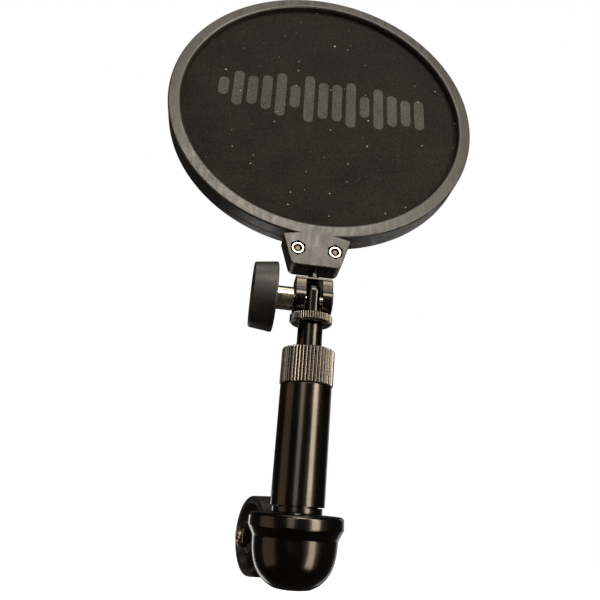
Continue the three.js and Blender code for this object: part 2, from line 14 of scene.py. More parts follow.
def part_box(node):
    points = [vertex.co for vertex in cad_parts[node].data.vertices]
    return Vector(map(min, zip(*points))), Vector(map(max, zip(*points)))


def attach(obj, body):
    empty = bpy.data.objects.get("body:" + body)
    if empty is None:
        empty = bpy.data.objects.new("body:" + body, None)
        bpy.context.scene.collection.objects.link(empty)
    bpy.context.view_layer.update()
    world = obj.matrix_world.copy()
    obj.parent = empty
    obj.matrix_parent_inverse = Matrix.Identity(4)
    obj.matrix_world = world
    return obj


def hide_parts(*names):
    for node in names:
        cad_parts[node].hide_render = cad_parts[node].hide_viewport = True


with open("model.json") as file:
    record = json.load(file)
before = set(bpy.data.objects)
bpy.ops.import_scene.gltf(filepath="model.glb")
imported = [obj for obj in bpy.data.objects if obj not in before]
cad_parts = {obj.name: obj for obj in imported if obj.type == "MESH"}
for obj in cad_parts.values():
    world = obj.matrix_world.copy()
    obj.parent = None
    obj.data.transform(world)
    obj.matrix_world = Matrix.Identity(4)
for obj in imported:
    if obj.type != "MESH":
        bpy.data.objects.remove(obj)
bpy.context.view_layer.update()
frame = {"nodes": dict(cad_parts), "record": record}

MM = 0.001                    # metres in a millimetre
scene = bpy.context.scene

# ------------------------------------------------------------------ frames taken from the joints
JOINTS = {joint["name"]: joint for joint in frame["record"]["behaviour"]["joints"]}
HINGE = Vector(JOINTS["head_tilt"]["pos_m"])
PIVOT = Vector(JOINTS["base_tilt"]["pos_m"])
BASE_AXIS = Vector(JOINTS["base_tilt"]["axis"])
HEAD_TILT = math.radians(7.54)                 # lean of the hoop towards the front at rest
SCALE = Matrix.Scale(MM, 4)
BASE_TURN = Matrix.Rotation(math.atan2(BASE_AXIS.y, BASE_AXIS.x), 4, "Z")
ROD = Matrix.Translation(HINGE) @ SCALE
HEAD = Matrix.Translation(HINGE) @ Matrix.Rotation(-HEAD_TILT, 4, "X") @ SCALE
BASE = Matrix.Translation(HINGE) @ BASE_TURN @ SCALE
PIVOT_Y = 35.3                                 # the pivot axis in the base frame
PIVOT_Z = (BASE.inverted() @ PIVOT).z

# ------------------------------------------------------------------ driving sizes, in millimetres
GAP = 0.3                     # clearance between neighbouring pieces
PAST = 1                      # how far a cutting tool runs past the face it opens
THROUGH = 40                  # half length of a tool that passes right through
OVERLAP = 0.4                 # how far two joined solids run into each other
SHARP = 0.05                  # rim of a piece that is only used for cutting
M3_PITCH = 0.5
M5_PITCH = 0.8
THREAD_DEPTH = 0.55           # share of the pitch
THREAD_BEVEL = 0.6            # share of the pitch at either end
THREAD_ROWS = 6               # rows of points in one turn
NUT_FACE = 0.46               # radius of a nut's flat face, as a share of its width across flats
RIB_FADE = 0.9                # the ribs fade out over this far inward from the wall

# hoop
HOOP_CENTRE = 104
HOOP_R = 75
HOOP_INNER_R = 69
HOOP_SEAT_R = 71.3
HOOP_FRONT = -5.8
HOOP_REAR = 6.4
HOOP_PARTING = 0.9
PARTING_HALF = 0.1            # half of the fine line between the two halves
HOOP_LIP = 2.8
HOOP_INNER_EDGE = 1.1
HOOP_FRONT_EDGE = 0.7
HOOP_REAR_EDGE = 2
CLOTH_R = 71
CLOTH_THICK = 0.5
CLOTH_SLACK = 0.25
CLOTH_GRIP = 0.82             # share of the radius where the pucker starts
CLOTH_PUCKER = 0.88
CLOTH_WAVES = 5               # how often the pucker changes round the hoop
CLOTH_LIFT = 0.1

# clamp tab, its screws and nuts
TAB_BOTTOM = 13.9
TAB_BOTTOM_HALF = 10.55
TAB_TOP = 33.5
TAB_EAR = 28.4
TAB_EAR_R = 0.8
TAB_NECK = 7.5
TAB_NECK_RISE = 1.6
TAB_SLOPE = 0.305
TAB_CORNER_R = 2.8
TAB_EDGE = 0.4
TAB_REAR = 4.4
SCREW_X = 8.15
SCREW_Z = 22
SCREW_R = 1.5
SCREW_POINT_R = 1.15
SCREW_HEAD_R = 2.8
SCREW_HEAD_H = 2
SCREW_SUNK = 0.2
CROSS_HALF = 1.5
CROSS_THICK = 0.32
NUT_FLATS = 5.5
NUT_BORE_R = 1.9
NUT_SUNK = 0.25
NUT_H = 2.4
POCKET_GAP = 0.5

# fork
EAR_INNER = 3.6
EAR_OUTER = 8
EAR_R = 6.4
EAR_TOP = 8.4
EAR_HALF = 5.2
BLOCK_HALF = 3.4
BRIDGE_LOW = 8.1
BRIDGE_TOP = 9.8
SHANK_R = 2.4
SHANK_TOP = 24.2
BUTTON_R = 3.3
BUTTON_LOW = 20.4
BUTTON_TOP = 23.2

# head hinge
STUD_R = 2.5
STUD_RIGHT = 7.8
STUD_LEFT = -25.7
STUD_PLAIN_END = -13
KNOB_R = 15
KNOB_DRAFT = 1.3              # how much smaller the outer face is than the inner one
KNOB_INNER_X = -15.9
KNOB_WIDTH = 10
KNOB_HUB_FACE = 4
KNOB_HUB_WALL = 2.4
BUSH_R = 5
BUSH_INNER_R = 2.8
HINGE_WASHER_R = 7
BIG_NUT_FLATS = 8
BIG_NUT_BORE_R = 2.65
BIG_NUT_H = 4

# rod
TONGUE_HALF = 3
TONGUE_R = 4.2
TONGUE_RISE = 3.3
TONGUE_LOW = -6.4
TONGUE_EDGE = 2.4
STEM_R = 3
LOCK_RIBS = 54
LOCK_RIB_DEPTH = 0.6
INNER_WALL = 0.9
INNER_SOCKET = 10.2
COLLAR_RIBS = 46
COLLAR_RIB_DEPTH = 0.85
COLLAR_LIP = 3.1
COLLAR_WALL = 1.5
COLLAR_MOUTH = 0.4
TUBE_THREAD_R = 9.1
TUBE_INNER_R = 8.3
PLUG_R = 7.9
PLUG_HOLE_R = 2.5
PLUG_CAP = 1.5

# bell
BELL_TOP = -85
BELL_RIM_R = 18.05
BELL_RIM_BOTTOM = -89.6
BOWL_R = 16
BOWL_TOP = -93.4
BOWL_ROUNDNESS = 0.8          # 1 is an ellipse, less is squarer
BELL_BOTTOM = -110.6
BELL_FLOOR_R = 6.5
BELL_WELL_R = 4.6
BELL_HOLE_R = 2.5
BELL_PLATE = 3.2

# base joint and stand adapter
BASE_KNOB_R = 16.2
BASE_KNOB_DRAFT = 0.4
BASE_KNOB_INNER_X = 5.2
BASE_KNOB_WIDTH = 9
BASE_KNOB_HUB_FACE = 9.3
BASE_BUSH_R = 4
WASHER_R = 5
WASHER_H = 0.8
BOLT_HEAD_R = 5
BOLT_HEAD_H = 3
BOLT_SOCKET_HALF = 2
BOLT_END = 1                  # how far the bolt shows past its nut
FORK_EAR = 3.2
FORK_LEFT_X = 7.8
FORK_RIGHT_X = 16.5
LUG_LEFT_X = 11.3
LUG_RIGHT_X = 16.2
LUG_R = 7.2
LUG_ROOT_Y = 4
LUG_ROOT_TOP = -86.2
LUG_ROOT_BOTTOM = -97
ADAPTER_X = 17.8
ADAPTER_R = 11
ADAPTER_TOP = -103.3
SOCKET_R = 7.5
SOCKET_END = -HINGE.z / MM
SOCKET_DEPTH = 8.6
SOCKET_PITCH = 0.94           # 27 threads to the inch
SOCKET_TURNS = 8


def levels(node):
    """Radius, low and high level of a turned CAD node on the rod, in millimetres from the hinge."""
    low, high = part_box(node)
    return (high[0] - low[0]) / 2 / MM, (low[2] - HINGE.z) / MM, (high[2] - HINGE.z) / MM


# ------------------------------------------------------------------ outlines
def filleted(outline, steps=5):
    """A closed outline of (x, y) or (x, y, radius) corners, with each corner of a radius made an arc."""
    corners = [(Vector(c[:2]), c[2] if len(c) > 2 else 0) for c in outline]
    points = []
    for i, (corner, radius) in enumerate(corners):
        if not radius:
            points.append(corner)
            continue
        before = (corners[i - 1][0] - corner).normalized()
        after = (corners[(i + 1) % len(corners)][0] - corner).normalized()
        half = before.angle(after) / 2
        middle = (before + after).normalized()
        centre = corner + middle * radius / math.sin(half)
        start = corner + before * radius / math.tan(half) - centre
        end = corner + after * radius / math.tan(half) - centre
        sweep = start.angle_signed(end)
        for k in range(steps + 1):
            turn = Matrix.Rotation(-sweep * k / steps, 2)
            points.append(centre + turn @ start)
    return points


def arc(x, y, radius, first, last, steps):
    """Points of an arc about (x, y), angles in degrees."""
    angles = [math.radians(first + (last - first) * k / steps) for k in range(steps + 1)]
    return [(x + radius * math.cos(a), y + radius * math.sin(a)) for a in angles]


def hexagon(flat_radius, x, y, first=0.0):
    """Corners of a hexagon about (x, y); first is the turn of its first corner, in sixths of a turn."""
    corner = flat_radius / math.cos(math.pi / 6)
    angles = [math.pi / 3 * (k + first) for k in range(6)]
    return [(x + corner * math.cos(a), y + corner * math.sin(a)) for a in angles]


def placed(axis, u, v, h):
    """The point at height h along an axis, with (u, v) across it."""
    return {"x": (h, u, v), "y": (u, h, v), "z": (u, v, h)}[axis]


# ------------------------------------------------------------------ solids as bmeshes
def revolve(profile, axis="z", steps=96, shape=None, centre=(0, 0)):
    """A turned solid from a closed (radius, height) outline; shape(angle, radius, height) may move points."""
    bm = bmesh.new()
    rings = []
    for radius, height in profile:
        if radius < 1e-6:
            rings.append([bm.verts.new(placed(axis, *centre, height))])
            continue
        row = []
        for k in range(steps):
            angle = 2 * math.pi * k / steps
            r, h = shape(angle, radius, height) if shape else (radius, height)
            u = centre[0] + r * math.cos(angle)
            v = centre[1] + r * math.sin(angle)
            row.append(bm.verts.new(placed(axis, u, v, h)))
        rings.append(row)
    for i, row in enumerate(rings):
        after = rings[(i + 1) % len(rings)]
        if len(row) == 1 and len(after) == 1:
            continue
        for k in range(steps):
            n = (k + 1) % steps
            corners = [row[k % len(row)], row[n % len(row)], after[n % len(after)], after[k % len(after)]]
            unique = list(dict.fromkeys(corners))
            bm.faces.new(unique)
    bmesh.ops.recalc_face_normals(bm, faces=bm.faces)
    return bm


def plate(outline, low, high, axis, edge=0.4, steps=3):
    """A flat outline pushed along an axis, with rounded rims."""
    points = [Vector(p) for p in outline]
    count = len(points)
    area = sum(points[i - 1].cross(points[i]) for i in range(count))
    if area < 0:
        points.reverse()
    insets = []
    for i, point in enumerate(points):
        before = (point - points[i - 1]).normalized()
        after = (points[(i + 1) % count] - point).normalized()
        inward = Vector((-before.y - after.y, before.x + after.x))
        insets.append(inward / max(0.3, 1 + before.dot(after)))
    turns = [math.pi / 2 * k / steps for k in range(steps + 1)]
    layers = [(edge * (1 - math.sin(t)), low + edge * (1 - math.cos(t))) for t in turns]
    layers += [(edge * (1 - math.cos(t)), high - edge * (1 - math.sin(t))) for t in turns]
    bm = bmesh.new()
    rows = []
    for inset, height in layers:
        row = [points[i] + insets[i] * inset for i in range(count)]
        rows.append([bm.verts.new(placed(axis, p.x, p.y, height)) for p in row])
    for row, after in zip(rows, rows[1:]):
        for i in range(count):
            n = (i + 1) % count
            bm.faces.new((row[i], row[n], after[n], after[i]))
    bm.faces.new(rows[0][::-1])
    bm.faces.new(rows[-1])
    bmesh.ops.recalc_face_normals(bm, faces=bm.faces)
    return bm


def bar(radius, low, high, axis="z", centre=(0, 0), steps=48, edge=0.0):
    """A round bar with optional chamfered ends."""
    wall = [(radius, low), (radius, high)]
    if edge:
        wall = [(radius - edge, low), (radius, low + edge), (radius, high - edge), (radius - edge, high)]
    return revolve([(0, low), *wall, (0, high)], axis, steps, None, centre)


def ring(inner, outer, low, high, axis="z", edge=0.2, steps=64, centre=(0, 0)):
    """A flat ring with rounded rims."""
    corners = [(inner, low, edge), (outer, low, edge), (outer, high, edge), (inner, high, edge)]
    return revolve(filleted(corners, 3), axis, steps, None, centre)


def threaded(radius, low, high, pitch, axis="z", centre=(0, 0), steps=40):
    """A screw thread: a bar whose radius follows a helical V, with chamfered ends."""
    depth = THREAD_DEPTH * pitch
    rows = max(2, round((high - low) / pitch * THREAD_ROWS))
    heights = [low + (high - low) * k / rows for k in range(rows + 1)]

    def shape(angle, r, h):
        phase = (h / pitch - angle / (2 * math.pi)) % 1
        end = min(h - low, high - h)
        bevel = max(0.0, THREAD_BEVEL * pitch - end)
        return max(r - depth * abs(2 * phase - 1) - bevel, radius * 0.5), h

    return revolve([(0, low)] + [(radius, h) for h in heights] + [(0, high)], axis, steps, shape, centre)


def hex_nut(flats, bore, low, high, axis="z", centre=(0, 0), sink=0.35, slope=0.55):
    """A hexagon nut with its corners turned off on both faces and a countersunk bore."""
    face = flats * NUT_FACE
    profile = [(bore, low + sink), (bore + sink, low), (face, low), (flats, low),
               (flats, high), (face, high), (bore + sink, high), (bore, high - sink)]

    def shape(angle, r, h):
        if r < flats:
            return r, h
        across = (angle + math.pi / 6) % (math.pi / 3) - math.pi / 6
        corner = flats / 2 / math.cos(across)
        drop = slope * (corner - face)
        return corner, h + drop if h == low else h - drop

    return revolve(profile, axis, 72, shape, centre)


def temporary(bm):
    """An object that carries a bmesh while the boolean runs."""
    mesh = bpy.data.meshes.new("temporary")
    bm.to_mesh(mesh)
    bm.free()
    obj = bpy.data.objects.new("temporary", mesh)
    scene.collection.objects.link(obj)
    return obj


def combined(operation, first, *others):
    """The boolean of one solid with others, as a new bmesh."""
    host = temporary(first)
    helpers = [temporary(other) for other in others]
    for helper in helpers:
        step = host.modifiers.new("combine", "BOOLEAN")
        step.operation = operation
        step.solver = "MANIFOLD"
        step.object = helper
    graph = bpy.context.evaluated_depsgraph_get()
    mesh = bpy.data.meshes.new_from_object(host.evaluated_get(graph))
    bm = bmesh.new()
    bm.from_mesh(mesh)
    bpy.data.meshes.remove(mesh)
    for obj in [host, *helpers]:
        used = obj.data
        bpy.data.objects.remove(obj)
        bpy.data.meshes.remove(used)
    bmesh.ops.remove_doubles(bm, verts=bm.verts, dist=1e-4)
    return bm


def union(first, *others):
    """One solid joined with others."""
    return combined("UNION", first, *others)


def minus(first, *others):
    """One solid with others cut away."""
    return combined("DIFFERENCE", first, *others)


# ------------------------------------------------------------------ materials
def material(name, roughness, metallic=0.0):
    """A new Principled material with its nodes, its links and its shader."""
    made = bpy.data.materials.new(name)
    made.use_nodes = True
    nodes, links = made.node_tree.nodes, made.node_tree.links
    shader = nodes["Principled BSDF"]
    shader.inputs["Roughness"].default_value = roughness
    shader.inputs["Metallic"].default_value = metallic
    return made, nodes, links, shader


def value_of(nodes, links, kind, *inputs):
    """A Math node; inputs are numbers or sockets."""
    node = nodes.new("ShaderNodeMath")
    node.operation = kind
    for socket, given in zip(node.inputs, inputs):
        if isinstance(given, (int, float)):
            socket.default_value = given
        else:
            links.new(given, socket)
    return node.outputs[0]


def ramp(nodes, links, factor, stops):
    """A colour ramp over (position, colour) stops."""
    node = nodes.new("ShaderNodeValToRGB")
    for _ in stops[2:]:
        node.color_ramp.elements.new(0.5)
    for element, (position, colour) in zip(node.color_ramp.elements, stops):
        element.position = position
        element.color = (*colour, 1)
    links.new(factor, node.inputs["Fac"])
    return node.outputs["Color"]


def gloss(nodes, links, shader, factor, first, last):
    """Roughness that runs between two (position, roughness) stops."""
    stops = [(position, (value,) * 3) for position, value in (first, last)]
    links.new(ramp(nodes, links, factor, stops), shader.inputs["Roughness"])


def grain(nodes, links, scale, detail=3.0, rough=0.55, stretch=None):
    """Noise in object coordinates; scale is in features per metre."""
    place = nodes.new("ShaderNodeTexCoord").outputs["Object"]
    if stretch:
        mapping = nodes.new("ShaderNodeMapping")
        mapping.inputs["Scale"].default_value = stretch
        links.new(place, mapping.inputs["Vector"])
        place = mapping.outputs["Vector"]
    node = nodes.new("ShaderNodeTexNoise")
    node.inputs["Scale"].default_value = scale
    node.inputs["Detail"].default_value = detail
    node.inputs["Roughness"].default_value = rough
    links.new(place, node.inputs["Vector"])
    return node.outputs["Fac"]


def blend(nodes, links, factor, under, over):
    """One colour laid over another; over is a colour or a socket."""
    node = nodes.new("ShaderNodeMix")
    node.data_type = "RGBA"
    links.new(factor, node.inputs["Factor"])
    links.new(under, node.inputs["A"])
    if isinstance(over, tuple):
        node.inputs["B"].default_value = (*over, 1)
    else:
        links.new(over, node.inputs["B"])
    return node.outputs["Result"]


def bump(nodes, links, shader, height, distance, strength=1.0):
    """Relief from a height socket; distance is in metres."""
    node = nodes.new("ShaderNodeBump")
    node.inputs["Distance"].default_value = distance
    node.inputs["Strength"].default_value = strength
    links.new(height, node.inputs["Height"])
    links.new(node.outputs["Normal"], shader.inputs["Normal"])


def moulded_plastic(name, dark, light, roughness, texture):
    """Moulded plastic with a spark-eroded grain, faint handling marks and uneven gloss."""
    made, nodes, links, shader = material(name, roughness)
    blotches = grain(nodes, links, 90, 4)
    links.new(ramp(nodes, links, blotches, [(0.3, dark), (0.72, light)]), shader.inputs["Base Color"])
    marks = grain(nodes, links, 420, 5, 0.6, (1, 1, 0.25))
    gloss(nodes, links, shader, marks, (0.35, roughness - 0.08), (0.65, roughness + 0.08))
    bump(nodes, links, shader, grain(nodes, links, texture, 2), 0.00006, 0.5)
    return made


def black_metal():
    """Glossy black plated metal with faint polishing lines and a few dull spots."""
    made, nodes, links, shader = material("black_metal", 0.16, 1.0)
    shader.inputs["Coat Weight"].default_value = 0.2
    shader.inputs["Coat Roughness"].default_value = 0.08
    cloud = grain(nodes, links, 60, 5)
    tone = ramp(nodes, links, cloud, [(0.3, (0.036, 0.031, 0.026)), (0.7, (0.056, 0.048, 0.04))])
    links.new(tone, shader.inputs["Base Color"])
    lines = grain(nodes, links, 900, 3, 0.5, (1, 1, 0.06))
    gloss(nodes, links, shader, lines, (0.3, 0.19), (0.75, 0.26))
    bump(nodes, links, shader, lines, 0.000004, 0.1)
    return made


def satin_black():
    """Satin black plating with a pale metal tint, a little uneven."""
    made, nodes, links, shader = material("satin_black", 0.24, 1.0)
    cloud = grain(nodes, links, 150, 4)
    tone = ramp(nodes, links, cloud, [(0.3, (0.16, 0.147, 0.13)), (0.75, (0.2, 0.184, 0.163))])
    links.new(tone, shader.inputs["Base Color"])
    gloss(nodes, links, shader, cloud, (0.3, 0.16), (0.75, 0.2))
    return made


def nickel(name="nickel", tint=(0.62, 0.59, 0.53)):
    """Bright nickel plate, a little uneven."""
    made, nodes, links, shader = material(name, 0.18, 1.0)
    cloud = grain(nodes, links, 700, 4)
    dark = tuple(c * 0.78 for c in tint)
    links.new(ramp(nodes, links, cloud, [(0.3, dark), (0.7, tint)]), shader.inputs["Base Color"])
    gloss(nodes, links, shader, cloud, (0.3, 0.14), (0.7, 0.28))
    bump(nodes, links, shader, grain(nodes, links, 3000, 2), 0.000008, 0.3)
    return made


# the cloth and its print; the lengths are in metres, as the shader sees them
THREAD_SPACING = 0.00062
LINT_PER_METRE = 110
BAR_PITCH = 0.0071
BAR_HALF = 0.0025
BAR_SHORTEST = 0.0045
BAR_SWING = 0.0085               # how much longer the tallest bar is than the shortest
BAR_LIMIT = 7.5                  # the bars are numbered from the middle, and stop before this number
PRINT_RISE = 0.006               # middle of the print above the middle of the hoop


def woven_cloth(name, printed):
    """Fine black nylon weave with lint on it; the front cloth carries a pale sound-wave print."""
    made, nodes, links, shader = material(name, 0.85)
    shader.inputs["Sheen Weight"].default_value = 0.03
    shader.inputs["Sheen Roughness"].default_value = 0.5
    shader.inputs["Specular IOR Level"].default_value = 0.12
    axes = nodes.new("ShaderNodeSeparateXYZ")
    links.new(nodes.new("ShaderNodeTexCoord").outputs["Object"], axes.inputs[0])
    x, z = axes.outputs["X"], axes.outputs["Z"]

    def calc(kind, *inputs):
        return value_of(nodes, links, kind, *inputs)

    thread = 2 * math.pi / THREAD_SPACING
    across = calc("SINE", calc("MULTIPLY", x, thread))
    along = calc("SINE", calc("MULTIPLY", z, thread))
    weave = calc("MULTIPLY_ADD", calc("MULTIPLY", across, along), 0.5, 0.5)
    uneven = grain(nodes, links, 1300, 2)
    clouds = grain(nodes, links, 35, 4)
    tone = calc("ADD", calc("MULTIPLY", weave, 0.3), calc("MULTIPLY", uneven, 0.45))
    tone = calc("ADD", tone, calc("MULTIPLY", clouds, 0.25))
    cloth = ramp(nodes, links, tone, [(0.43, (0.0018, 0.0015, 0.001)), (0.6, (0.022, 0.0184, 0.0134))])
    if printed:
        cloth = sound_wave(nodes, links, calc, x, z, cloth, tone)

    spots = nodes.new("ShaderNodeTexVoronoi")
    spots.voronoi_dimensions = "2D"
    spots.inputs["Scale"].default_value = LINT_PER_METRE
    flat = nodes.new("ShaderNodeCombineXYZ")
    links.new(x, flat.inputs["X"])
    links.new(z, flat.inputs["Y"])
    links.new(flat.outputs[0], spots.inputs["Vector"])
    split = nodes.new("ShaderNodeSeparateColor")
    links.new(spots.outputs["Color"], split.inputs[0])
    reach = calc("MULTIPLY_ADD", split.outputs[1], 0.03, 0.01)
    near = calc("LESS_THAN", spots.outputs["Distance"], reach)
    bright = calc("POWER", split.outputs[0], 5.0)
    lint = calc("MULTIPLY", near, bright)
    links.new(blend(nodes, links, lint, cloth, (0.7, 0.68, 0.64)), shader.inputs["Base Color"])
    bump(nodes, links, shader, calc("ADD", weave, uneven), 0.0001, 0.5)
    return made


def sound_wave(nodes, links, calc, x, z, cloth, tone):
    """A band of round-ended bars, taller towards the middle, printed across the cloth."""
    middle = HINGE.z + HOOP_CENTRE * MM + PRINT_RISE
    across = calc("SUBTRACT", x, HINGE.x)
    up = calc("ABSOLUTE", calc("SUBTRACT", z, middle))
    index = calc("ROUND", calc("DIVIDE", across, BAR_PITCH))
    offset = calc("SUBTRACT", across, calc("MULTIPLY", index, BAR_PITCH))
    wave = calc("ABSOLUTE", calc("SINE", calc("MULTIPLY_ADD", index, 1.9, 0.6)))
    swell = calc("COSINE", calc("MULTIPLY", index, 0.14))
    height = calc("MULTIPLY", calc("MULTIPLY_ADD", wave, BAR_SWING, BAR_SHORTEST), swell)
    beyond = calc("MAXIMUM", calc("SUBTRACT", up, height), 0.0)
    distance = calc("SQRT", calc("ADD", calc("POWER", offset, 2.0), calc("POWER", beyond, 2.0)))
    inside = calc("LESS_THAN", distance, BAR_HALF)
    inside = calc("MULTIPLY", inside, calc("LESS_THAN", calc("ABSOLUTE", index), BAR_LIMIT))
    ink = ramp(nodes, links, tone, [(0.4, (0.026, 0.024, 0.021)), (0.6, (0.088, 0.083, 0.075))])
    return blend(nodes, links, inside, cloth, ink)


FRAME_PLASTIC = moulded_plastic("frame_plastic", (0.016, 0.014, 0.011), (0.03, 0.026, 0.021), 0.35, 1500)
KNOB_PLASTIC = moulded_plastic("knob_plastic", (0.009, 0.0084, 0.007), (0.021, 0.019, 0.016), 0.42, 1500)
INNER_PLASTIC = moulded_plastic("inner_plastic", (0.015, 0.015, 0.014), (0.028, 0.028, 0.026), 0.5, 1800)
BLACK_METAL = black_metal()
SATIN_BLACK = satin_black()
NICKEL = nickel()
WARM_NICKEL = nickel("warm_nickel", (0.7, 0.62, 0.46))
YELLOW_ZINC = nickel("yellow_zinc", (0.06, 0.045, 0.032))
BRONZE = nickel("bronze", (0.3, 0.21, 0.16))
FRONT_CLOTH = woven_cloth("front_cloth", True)
REAR_CLOTH = woven_cloth("rear_cloth", False)


# ------------------------------------------------------------------ making and placing pieces
def piece(name, bm, place, body, slot, look, *nodes, smooth=32):
    """A finished piece that stands for CAD nodes, riding on a body; edges over smooth degrees stay sharp."""
    bm.transform(place)
    bmesh.ops.recalc_face_normals(bm, faces=bm.faces)
    mesh = bpy.data.meshes.new(name)
    bm.to_mesh(mesh)
    bm.free()
    mesh.shade_smooth()
    mesh.set_sharp_from_angle(angle=math.radians(smooth))
    mesh.materials.append(look)
    obj = bpy.data.objects.new(name, mesh)
    scene.collection.objects.link(obj)
    obj.modifiers.new("even_normals", "WEIGHTED_NORMAL").keep_sharp = True
    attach(obj, body)
    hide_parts(*nodes)
    return obj


# ------------------------------------------------------------------ head
def tab_outline():
    """The clamp tab from the front: narrow below, widest at its two ears, and a neck into the hoop."""
    ear = TAB_BOTTOM_HALF + (TAB_EAR - TAB_BOTTOM) * TAB_SLOPE
    neck = TAB_EAR + TAB_NECK_RISE
    return filleted([
        (-TAB_NECK, TAB_TOP), (-TAB_NECK, neck), (-ear, TAB_EAR, TAB_EAR_R),
        (-TAB_BOTTOM_HALF, TAB_BOTTOM, TAB_CORNER_R), (TAB_BOTTOM_HALF, TAB_BOTTOM, TAB_CORNER_R),
        (ear, TAB_EAR, TAB_EAR_R), (TAB_NECK, neck), (TAB_NECK, TAB_TOP),
    ], 8)


def hoop_half(face, parting, outer_edge, tab_face):
    """One half of the hoop with its clamp tab; face and parting are levels along the axis of the hoop."""
    inward = 1 if parting > face else -1
    lip = face + inward * HOOP_LIP
    profile = filleted([
        (HOOP_INNER_R, face, HOOP_INNER_EDGE), (HOOP_R, face, outer_edge), (HOOP_R, parting, 0.25),
        (HOOP_SEAT_R, parting), (HOOP_SEAT_R, lip), (HOOP_INNER_R, lip),
    ], 6)
    centre = (0, HOOP_CENTRE)
    band = revolve(profile, "y", 256, None, centre)
    low, high = min(tab_face, parting), max(tab_face, parting)
    seat = bar(HOOP_SEAT_R - OVERLAP, -THROUGH, THROUGH, "y", centre, 256)
    tab = minus(plate(tab_outline(), low, high, "y", TAB_EDGE, 4), seat)
    shank = bar(SHANK_R + GAP, TAB_BOTTOM - PAST, SHANK_TOP + GAP, "z", (0, 0), 40)
    button = bar(BUTTON_R + GAP, BUTTON_LOW - GAP, BUTTON_TOP + GAP, "z", (0, 0), 40)
    return minus(union(band, tab), shank, button)


def front_hoop():
    """The front half, with a hexagon pocket for each nut."""
    floor = HOOP_FRONT + NUT_H + GAP
    parting = HOOP_PARTING - PARTING_HALF
    tools = []
    for side in (-1, 1):
        place = (side * SCREW_X, SCREW_Z)
        pocket = hexagon(NUT_FLATS / 2 + POCKET_GAP, *place, 0.5)
        tools.append(plate(pocket, HOOP_FRONT - PAST, floor, "y", SHARP, 1))
        tools.append(bar(SCREW_R + GAP, floor - PAST, parting + PAST, "y", place, 32))
    return minus(hoop_half(HOOP_FRONT, parting, HOOP_FRONT_EDGE, HOOP_FRONT), *tools)


def rear_hoop():
    """The rear half, with a round pocket for each screw head."""
    floor = TAB_REAR - SCREW_HEAD_H - GAP
    parting = HOOP_PARTING + PARTING_HALF
    tools = []
    for side in (-1, 1):
        place = (side * SCREW_X, SCREW_Z)
        tools.append(bar(SCREW_HEAD_R + GAP, floor, TAB_REAR + PAST, "y", place, 40))
        tools.append(bar(SCREW_R + GAP, parting - PAST, floor + PAST, "y", place, 32))
    return minus(hoop_half(HOOP_REAR, parting, HOOP_REAR_EDGE, TAB_REAR), *tools)


def clamp_screw(side):
    """A pan-head screw with a cross recess, from the rear into the nut in front."""
    x, z = place = (side * SCREW_X, SCREW_Z)
    under = TAB_REAR - SCREW_HEAD_H
    top = TAB_REAR - SCREW_SUNK
    profile = filleted([(0, under), (SCREW_HEAD_R, under, 0.2), (SCREW_HEAD_R, top, 1.0), (0, top)], 4)
    head = revolve(profile, "y", 48, None, place)
    slots = []
    for wide, tall in ((CROSS_HALF, CROSS_THICK), (CROSS_THICK, CROSS_HALF)):
        box = [(x - wide, z - tall), (x + wide, z - tall), (x + wide, z + tall), (x - wide, z + tall)]
        slots.append(plate(box, TAB_REAR - 1.3, TAB_REAR + PAST, "y", SHARP, 1))
    shank = threaded(SCREW_R, HOOP_FRONT + 1.3, under + OVERLAP, M3_PITCH, "y", place)
    point = bar(SCREW_POINT_R, HOOP_FRONT + 0.6, HOOP_FRONT + 2, "y", place, 32, 0.15)
    return union(minus(head, *slots), shank, point)


def cloth_sheet(face, inward, seed):
    """A round cloth, stretched flat with a slight pucker where the hoop grips it."""
    level = face + inward * (HOOP_LIP + GAP)
    bm = bmesh.new()
    rings, steps = 26, 144
    rows = []
    for i in range(rings + 1):
        radius = CLOTH_R * i / rings
        row = []
        for k in range(steps if i else 1):
            angle = 2 * math.pi * k / steps
            grip = max(0.0, (i / rings - CLOTH_GRIP) / (1 - CLOTH_GRIP))
            wave = noise.noise(Vector((math.cos(angle) * CLOTH_WAVES, math.sin(angle) * CLOTH_WAVES, seed)))
            depth = CLOTH_PUCKER * wave * grip * (1 - grip)
            slack = CLOTH_SLACK * (1 - (i / rings) ** 2)
            row.append((radius * math.cos(angle), level + inward * (CLOTH_LIFT + slack) + depth,
                        HOOP_CENTRE + radius * math.sin(angle)))
        rows.append(row)
    layers = []
    for lift in (0, inward * CLOTH_THICK):
        layers.append([[bm.verts.new((x, y + lift, z)) for x, y, z in row] for row in rows])
    for layer in layers:
        for k in range(steps):
            n = (k + 1) % steps
            bm.faces.new((layer[0][0], layer[1][k], layer[1][n]))
            for row, after in zip(layer[1:], layer[2:]):
                bm.faces.new((row[k], after[k], after[n], row[n]))
    for k in range(steps):
        n = (k + 1) % steps
        bm.faces.new((layers[0][-1][k], layers[1][-1][k], layers[1][-1][n], layers[0][-1][n]))
    bmesh.ops.recalc_face_normals(bm, faces=bm.faces)
    return bm


